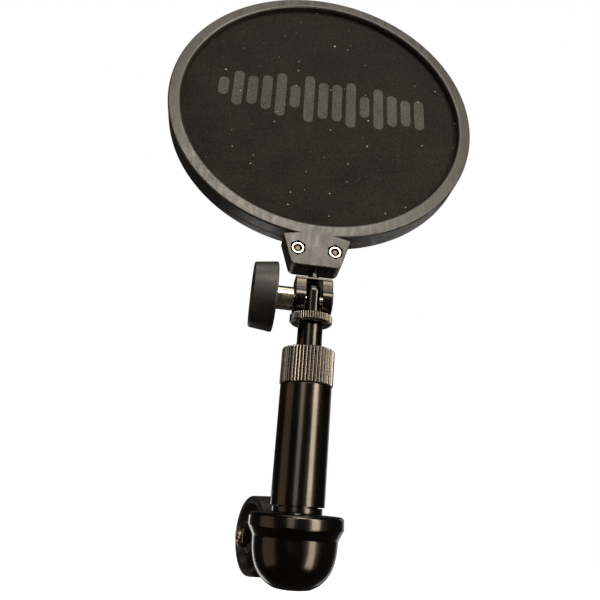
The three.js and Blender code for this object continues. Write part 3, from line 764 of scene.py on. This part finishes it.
def clevis_fork():
    """Two round-bottomed ears, the narrower block over the eye, and the shank that the tab clamps."""
    shoulder = math.degrees(math.acos(EAR_HALF / EAR_R))
    upper = [(EAR_HALF, 5.2), (EAR_HALF, EAR_TOP, 1.5), (BLOCK_HALF, EAR_TOP + 0.2),
             (BLOCK_HALF, BRIDGE_TOP, 0.4)]
    mirrored = [(-y, *rest) for y, *rest in reversed(upper)]
    outline = arc(0, 0, EAR_R, 180 - shoulder, 360 + shoulder, 48) + filleted(upper + mirrored, 6)
    block = plate(outline, -EAR_OUTER, EAR_OUTER, "x", 0.5, 4)
    opening = [(-THROUGH, -THROUGH), (THROUGH, -THROUGH), (THROUGH, BRIDGE_LOW), (-THROUGH, BRIDGE_LOW)]
    slot = plate(opening, -EAR_INNER, EAR_INNER, "x", 0.01, 1)
    pin = bar(STUD_R + GAP, -THROUGH, THROUGH, "x", (0, 0), 48)
    shank = bar(SHANK_R, BRIDGE_TOP - OVERLAP, SHANK_TOP, "z", (0, 0), 48, 0.3)
    button = bar(BUTTON_R, BUTTON_LOW, BUTTON_TOP, "z", (0, 0), 48, 0.3)
    return union(minus(block, slot, pin), shank, button)


def dished_knob(radius, draft, width, hub_face, bore, inner_x, place=(0, 0)):
    """A moulded knob about an axis along x, dished on its outer face, with a hub for the nut."""
    hub = bore + KNOB_HUB_WALL
    rim = radius - draft
    outline = [
        (bore, 0, 0.2), (hub + 0.8, 0, 0.3), (hub + 1.6, 0.8, 0.4), (radius - 3, 0.8, 0.5),
        (radius - 2.4, 0, 0.4), (radius, 0, 0.7), (rim, width, 0.8), (rim - 2.6, width, 0.5),
        (rim - 3.9, width - 2.6, 1.0),
        (hub + 1.2, 2.6, 1.0), (hub, hub_face, 0.3), (bore, hub_face, 0.3),
    ]
    profile = [(p[0], inner_x - p[1]) for p in filleted(outline, 5)]
    return revolve(profile, "x", 160, None, place)


def build_head():
    """Every piece that rides on the head or on its hinge knob."""
    piece("front_hoop_shell", front_hoop(), HEAD, "head", "frame_plastic", FRAME_PLASTIC, "front_hoop")
    piece("rear_hoop_shell", rear_hoop(), HEAD, "head", "frame_plastic", FRAME_PLASTIC, "rear_hoop")
    for name, node, face, inward, seed, look in (
        ("front_cloth", "front_mesh", HOOP_FRONT, 1, 3.0, FRONT_CLOTH),
        ("rear_cloth", "rear_mesh", HOOP_REAR, -1, 8.0, REAR_CLOTH),
    ):
        made = piece(name, cloth_sheet(face, inward, seed), HEAD, "head", "cloth", look, node)
    for name, side in (("left", -1), ("right", 1)):
        place = (side * SCREW_X, SCREW_Z)
        screw = clamp_screw(side)
        piece(f"clamp_screw_{name}", screw, HEAD, "head", "nickel", YELLOW_ZINC, f"hoop_screw_{name}")
        nut = hex_nut(NUT_FLATS, NUT_BORE_R, HOOP_FRONT + NUT_SUNK, HOOP_FRONT + NUT_H, "y", place,
                      sink=0.1, slope=1.4)
        piece(f"clamp_nut_{name}", nut, HEAD, "head", "nickel", NICKEL, f"hoop_nut_{name}")
    piece("fork", clevis_fork(), HEAD, "head", "black_metal", BLACK_METAL, "clevis_fork")

    hub_x = KNOB_INNER_X - KNOB_HUB_FACE
    washer_x = hub_x - GAP
    nut_x = washer_x - WASHER_H - GAP
    plain = bar(STUD_R, STUD_PLAIN_END, STUD_RIGHT, "x", (0, 0), 48, 0.3)
    stud = union(plain, threaded(STUD_R, STUD_LEFT, STUD_PLAIN_END + OVERLAP, M5_PITCH, "x"))
    piece("head_stud", stud, HEAD, "head", "nickel", NICKEL, "hinge_stud")
    knob = dished_knob(KNOB_R, KNOB_DRAFT, KNOB_WIDTH, KNOB_HUB_FACE, BUSH_R + GAP, KNOB_INNER_X)
    piece("head_knob", knob, HEAD, "hinge_knob", "knob_plastic", KNOB_PLASTIC, "hinge_knob")
    bush = ring(BUSH_INNER_R, BUSH_R, hub_x, -EAR_OUTER - GAP, "x", 0.35, 72)
    piece("head_bush", bush, HEAD, "hinge_knob", "nickel", WARM_NICKEL, "hinge_bush")
    washer = ring(STUD_R + GAP, HINGE_WASHER_R, washer_x - WASHER_H, washer_x, "x", 0.15)
    piece("head_washer", washer, HEAD, "head", "nickel", NICKEL, "hinge_washer")
    nut = hex_nut(BIG_NUT_FLATS, BIG_NUT_BORE_R, nut_x - BIG_NUT_H, nut_x, "x")
    piece("head_nut", nut, HEAD, "head", "nickel", NICKEL, "hinge_knob_nut")


# ------------------------------------------------------------------ rod
def stem():
    """The flattened eye under the fork, and the threaded stem below it."""
    top = arc(0, TONGUE_RISE, TONGUE_R, 0, 180, 32)
    outline = [(TONGUE_R, TONGUE_LOW)] + top + [(-TONGUE_R, TONGUE_LOW)]
    eye = plate(outline, -TONGUE_HALF, TONGUE_HALF, "x", TONGUE_EDGE, 8)
    bottom = levels("stem_eye")[1]
    pin = bar(STUD_R + GAP, -THROUGH, THROUGH, "x", (0, 0), 48)
    return union(minus(eye, pin), threaded(STEM_R, bottom, TONGUE_LOW + OVERLAP, M5_PITCH, "z"))


def ribbed(outline, radius, count, depth, sharpness):
    """A turned ring whose outer wall carries straight ribs along its axis."""

    def shape(angle, r, h):
        share = max(0.0, min(1.0, (r - radius + RIB_FADE) / RIB_FADE))
        crest = abs(math.cos(count * angle / 2)) ** sharpness
        return r - depth * (1 - crest) * share, h

    return revolve(filleted(outline, 4), "z", count * 10, shape)


def turned(profile, steps):
    """A turned piece from an outline with filleted corners."""
    return revolve(filleted(profile, 4), "z", steps)


def lock_ring():
    """A thin ribbed ring with a sloping underside."""
    radius, low, high = levels("lock_ring")
    bore = STEM_R + GAP
    outline = [(bore, low, 0.15), (radius - 1.0, low, 0.1), (radius, low + 0.8, 0.1), (radius, high, 0.5),
               (bore, high, 0.15)]
    return ribbed(outline, radius, LOCK_RIBS, LOCK_RIB_DEPTH, 0.9)


def inner_tube():
    """The sliding tube, with a socket for the stem at its upper end."""
    radius, low, high = levels("inner_tube")
    bore = radius - INNER_WALL
    socket = high - INNER_SOCKET
    return turned([(STEM_R + GAP, high, 0.1), (radius, high, 0.35), (radius, low, 0.2), (bore, low, 0.1),
                   (bore, socket), (STEM_R + GAP, socket)], 128)


def clutch_collar():
    """The ribbed collar, with a lip over the collet."""
    mouth = levels("inner_tube")[0] + COLLAR_MOUTH
    radius, low, high = levels("clutch_collar")
    lip = high - COLLAR_LIP
    wall = radius - COLLAR_WALL
    outline = [(mouth, high, 0.3), (radius, high, 0.9), (radius, low, 0.5), (wall, low, 0.2), (wall, lip),
               (mouth, lip, 0.2)]
    return ribbed(outline, radius, COLLAR_RIBS, COLLAR_RIB_DEPTH, 0.85)


def outer_tube():
    """The glossy tube, with a narrower end for the collar's thread."""
    radius, low, high = levels("outer_tube")
    shoulder = levels("clutch_collar")[1] - GAP
    return turned([(TUBE_INNER_R, high, 0.2), (TUBE_THREAD_R, high, 0.2), (TUBE_THREAD_R, shoulder),
                   (radius, shoulder, 0.2), (radius, low, 0.25), (TUBE_INNER_R, low, 0.15)], 160)


def neck_plug():
    """The neck between tube and bell, with a plug up into the tube and a hole for the bell's screw."""
    radius, low, high = levels("neck_plug")
    top = levels("outer_tube")[1] - GAP
    cap = high - PLUG_CAP
    return turned([(0, high), (PLUG_R, high, 0.3), (PLUG_R, top), (radius, top, 0.2), (radius, low, 0.35),
                   (PLUG_HOLE_R, low, 0.2), (PLUG_HOLE_R, cap), (0, cap)], 128)


def build_rod():
    """The stem, the lock ring, the two tubes and the clutch."""
    for name, bm, body, slot, look, node, smooth in (
        ("stem", stem(), "stem", "black_metal", BLACK_METAL, "stem_eye", 32),
        ("jam_ring", lock_ring(), "lock", "satin_black", SATIN_BLACK, "lock_ring", 50),
        ("polished_tube", inner_tube(), "slider", "black_metal", BLACK_METAL, "inner_tube", 32),
        ("ribbed_collar", clutch_collar(), "collar", "satin_black", SATIN_BLACK, "clutch_collar", 50),
        ("sleeve_tube", outer_tube(), "arm", "black_metal", BLACK_METAL, "outer_tube", 32),
        ("neck", neck_plug(), "arm", "black_metal", BLACK_METAL, "neck_plug", 32),
    ):
        piece(name, bm, ROD, body, slot, look, node, smooth=smooth)


# ------------------------------------------------------------------ base
def bowl_outline():
    """The side of the bowl, a superellipse from its top to its flat floor."""
    last = math.acos((BELL_FLOOR_R / BOWL_R) ** (1 / BOWL_ROUNDNESS))
    depth = (BOWL_TOP - BELL_BOTTOM) / math.sin(last) ** BOWL_ROUNDNESS
    points = []
    for k in range(40):
        turn = last * (0.1 + 0.9 * k / 40)
        radius = BOWL_R * math.cos(turn) ** BOWL_ROUNDNESS
        points.append(Vector((radius, BOWL_TOP - depth * math.sin(turn) ** BOWL_ROUNDNESS)))
    return points


def bell():
    """A bead rim with a sloping underside over a full bowl, the pivot lug, and a screw well from below."""
    ceiling = BELL_TOP - BELL_PLATE
    rim = filleted([
        (BELL_HOLE_R, ceiling), (BELL_HOLE_R, BELL_TOP, 0.2), (BELL_RIM_R - 0.1, BELL_TOP, 1.5),
        (BELL_RIM_R, BELL_RIM_BOTTOM, 1.3), (BOWL_R + 0.1, BOWL_TOP + 0.1, 0.9), (BOWL_R, BOWL_TOP - 1.3),
    ], 6)
    floor = filleted([
        (BELL_FLOOR_R + 0.9, BELL_BOTTOM + 0.25), (BELL_FLOOR_R - 0.4, BELL_BOTTOM, 0.6),
        (BELL_WELL_R, BELL_BOTTOM, 0.3), (BELL_WELL_R, ceiling),
    ], 4)
    cup = revolve(rim + bowl_outline() + floor, "z", 192)
    lug = [(LUG_ROOT_Y, LUG_ROOT_BOTTOM), (PIVOT_Y - 1.3, PIVOT_Z - LUG_R * 0.98)]
    lug += arc(PIVOT_Y, PIVOT_Z, LUG_R, -100, 106, 28) + [(LUG_ROOT_Y, LUG_ROOT_TOP)]
    pin = bar(STUD_R + GAP, -THROUGH, THROUGH, "x", (PIVOT_Y, PIVOT_Z), 48)
    return minus(union(cup, plate(lug, LUG_LEFT_X, LUG_RIGHT_X, "x", 0.6, 4)), pin)


def stand_adapter():
    """The fork that carries the bell's lug, over a threaded socket for a stand."""
    bottom = SOCKET_END - SOCKET_DEPTH
    centre = (ADAPTER_X, PIVOT_Y)
    mouth = SOCKET_R + 0.25
    body = revolve(filleted([
        (0, SOCKET_END), (mouth, SOCKET_END), (mouth, bottom, 0.5), (ADAPTER_R, bottom, 0.7),
        (ADAPTER_R, ADAPTER_TOP, 0.9), (0, ADAPTER_TOP),
    ], 4), "z", 128, None, centre)
    foot = ADAPTER_TOP - 0.8
    top = arc(PIVOT_Y, PIVOT_Z, LUG_R, 0, 180, 28)
    outline = [(PIVOT_Y + LUG_R, foot), *top, (PIVOT_Y - LUG_R, foot)]
    ears = [plate(outline, x, x + FORK_EAR, "x", 0.5, 4) for x in (FORK_LEFT_X, FORK_RIGHT_X)]
    pin = bar(STUD_R + GAP, -THROUGH, THROUGH, "x", (PIVOT_Y, PIVOT_Z), 48)
    turns = []
    for k in range(SOCKET_TURNS):
        low = bottom + SOCKET_PITCH * (k + 0.8)
        high = bottom + SOCKET_PITCH * (k + 1.2)
        turns.append(ring(SOCKET_R - 0.05, SOCKET_R + 0.6, low, high, "z", 0.15, 96, centre))
    return union(minus(union(body, *ears), pin), *turns)


def pivot_bolt(place, head_x, hub_x, end_x):
    """A round-headed bolt with a hexagon socket; only its end is threaded."""
    top = head_x + BOLT_HEAD_H
    profile = filleted([(0, head_x), (BOLT_HEAD_R, head_x, 0.2), (BOLT_HEAD_R, top, 1.2), (0, top)], 5)
    head = revolve(profile, "x", 64, None, place)
    socket = plate(hexagon(BOLT_SOCKET_HALF, *place), head_x + 1.0, top + PAST, "x", SHARP, 1)
    plain = bar(STUD_R, hub_x + 1, head_x + OVERLAP, "x", place, 48)
    thread = threaded(STUD_R, end_x, hub_x + 1 + OVERLAP, M5_PITCH, "x", place)
    return union(minus(head, socket), plain, thread)


def build_base():
    """The bell, the base joint and the stand adapter."""
    piece("bell_cup", bell(), BASE, "arm", "black_metal", BLACK_METAL, "bell")
    piece("stand_fork", stand_adapter(), BASE, "stand", "black_metal", BLACK_METAL, "stand_adapter")

    place = (PIVOT_Y, PIVOT_Z)
    left_x = FORK_LEFT_X - GAP - WASHER_H
    right_x = FORK_RIGHT_X + FORK_EAR + GAP
    head_x = right_x + WASHER_H + GAP
    hub_x = BASE_KNOB_INNER_X - BASE_KNOB_HUB_FACE
    nut_x = hub_x - GAP
    end_x = nut_x - BIG_NUT_H - BOLT_END
    bolt = pivot_bolt(place, head_x, hub_x, end_x)
    piece("pivot_bolt", bolt, BASE, "stand", "nickel", NICKEL, "base_bolt")
    for name, x in (("left", left_x), ("right", right_x)):
        washer = ring(STUD_R + GAP, WASHER_R, x, x + WASHER_H, "x", 0.15, 64, place)
        piece(f"pivot_washer_{name}", washer, BASE, "stand", "nickel", NICKEL, f"base_washer_{name}")
    knob = dished_knob(BASE_KNOB_R, BASE_KNOB_DRAFT, BASE_KNOB_WIDTH, BASE_KNOB_HUB_FACE, BASE_BUSH_R + GAP,
                       BASE_KNOB_INNER_X, place)
    piece("pivot_knob", knob, BASE, "base_knob", "knob_plastic", KNOB_PLASTIC, "base_knob")
    bush = ring(BUSH_INNER_R, BASE_BUSH_R, hub_x, left_x - GAP, "x", 0.25, 64, place)
    piece("pivot_bush", bush, BASE, "base_knob", "nickel", WARM_NICKEL, "base_knob_bush")
    nut = hex_nut(BIG_NUT_FLATS, BIG_NUT_BORE_R, nut_x - BIG_NUT_H, nut_x, "x", place)
    piece("pivot_nut", nut, BASE, "stand", "nickel", BRONZE, "base_knob_nut")


# ------------------------------------------------------------------ stage
def pale_floor(level, half):
    """A white floor for the eye that neither lights the part nor shows in its reflections."""
    mesh = bpy.data.meshes.new("floor")
    corners = [(-half, -half, level), (half, -half, level), (half, half, level), (-half, half, level)]
    mesh.from_pydata(corners, [], [(0, 1, 2, 3)])
    floor = bpy.data.objects.new("floor", mesh)
    scene.collection.objects.link(floor)
    pale, _, _, shader = material("pale_floor", 0.9)
    shader.inputs["Base Color"].default_value = (0.86, 0.86, 0.86, 1)
    shader.inputs["Specular IOR Level"].default_value = 0.0
    shader.inputs["Emission Color"].default_value = (1, 1, 1, 1)
    shader.inputs["Emission Strength"].default_value = 0.95
    mesh.materials.append(pale)
    floor.visible_diffuse = False
    floor.visible_glossy = False


def pale_surround():
    """A white surround for the eye, and a dim warm room for light and reflections."""
    world = bpy.data.worlds.new("pale_surround")
    scene.world = world
    world.use_nodes = True
    nodes, links = world.node_tree.nodes, world.node_tree.links
    room = nodes["Background"]
    room.inputs["Strength"].default_value = 0.035
    room.inputs["Color"].default_value = (1, 0.95, 0.9, 1)
    shown = nodes.new("ShaderNodeBackground")
    shown.inputs["Color"].default_value = (1, 1, 1, 1)
    path = nodes.new("ShaderNodeLightPath")
    mix = nodes.new("ShaderNodeMixShader")
    links.new(path.outputs["Is Camera Ray"], mix.inputs["Fac"])
    links.new(room.outputs[0], mix.inputs[1])
    links.new(shown.outputs[0], mix.inputs[2])
    links.new(mix.outputs[0], nodes["World Output"].inputs["Surface"])


def soft_lights():
    """A warm key above, a tall window on the right, a strip, a brown side, two rim lights, a weak sun."""
    warm = (1, 0.9, 0.77)
    for name, offset, size, radiance, tint in (
        ("key", (0.05, -0.76, 0.78), (0.5, 0.36), 12.5, warm),
        ("window", (0.66, -0.82, 0.28), (0.4, 0.9), 11.0, warm),
        ("window_low", (0.66, -0.8, -0.5), (0.36, 0.7), 6.0, warm),
        ("strip", (-0.36, -1.0, 0.24), (0.3, 0.72), 2.6, (1, 0.93, 0.84)),
        ("side", (-1.0, -0.15, -0.2), (0.7, 1.1), 0.7, (1, 0.7, 0.5)),
        ("behind_left", (-0.33, 0.94, -0.4), (0.26, 0.7), 1.8, (1, 0.96, 0.9)),
        ("behind_right", (0.6, 0.85, -0.2), (0.2, 1.2), 0.8, (1, 1, 1)),
    ):
        light = bpy.data.lights.new(name, "AREA")
        light.shape = "RECTANGLE"
        light.size, light.size_y = size
        light.energy = radiance * math.pi * size[0] * size[1]
        light.color = tint
        lamp = bpy.data.objects.new(name, light)
        lamp.location = HINGE + Vector(offset)
        lamp.rotation_euler = (-Vector(offset)).to_track_quat("-Z", "Y").to_euler()
        lamp.visible_camera = False
        scene.collection.objects.link(lamp)
    sun = bpy.data.lights.new("overhead", "SUN")
    sun.energy = 0.8
    sun.angle = math.radians(40)
    scene.collection.objects.link(bpy.data.objects.new("overhead", sun))
    scene.view_settings.view_transform = "Standard"


def camera():
    """A close camera below the middle of the hoop, looking up at it."""
    eye = HINGE + Vector((-33.408, -236.453, -79.597)) * MM
    look = Vector((0.11239, 0.94187, 0.31661)).normalized()
    up = Vector((-0.11535, -0.30411, 0.94563))
    right = look.cross(up).normalized()
    up = right.cross(look)
    lens = bpy.data.cameras.new("camera")
    lens.sensor_width = 36
    lens.lens = 35.70
    lens.clip_start = 0.01
    obj = bpy.data.objects.new("camera", lens)
    basis = Matrix((right, up, -look)).transposed().to_4x4()
    obj.matrix_world = Matrix.Translation(eye) @ basis
    scene.collection.objects.link(obj)
    scene.camera = obj


camera()
build_head()
build_rod()
build_base()
pale_floor(level=-0.22, half=3.0)
pale_surround()
soft_lights()

for node, look in (
    ("mesh_spacer_ring", INNER_PLASTIC), ("guide_bush", INNER_PLASTIC), ("collet", INNER_PLASTIC),
    ("bell_screw", NICKEL),
):
    frame["nodes"][node].material_slots[0].material = look
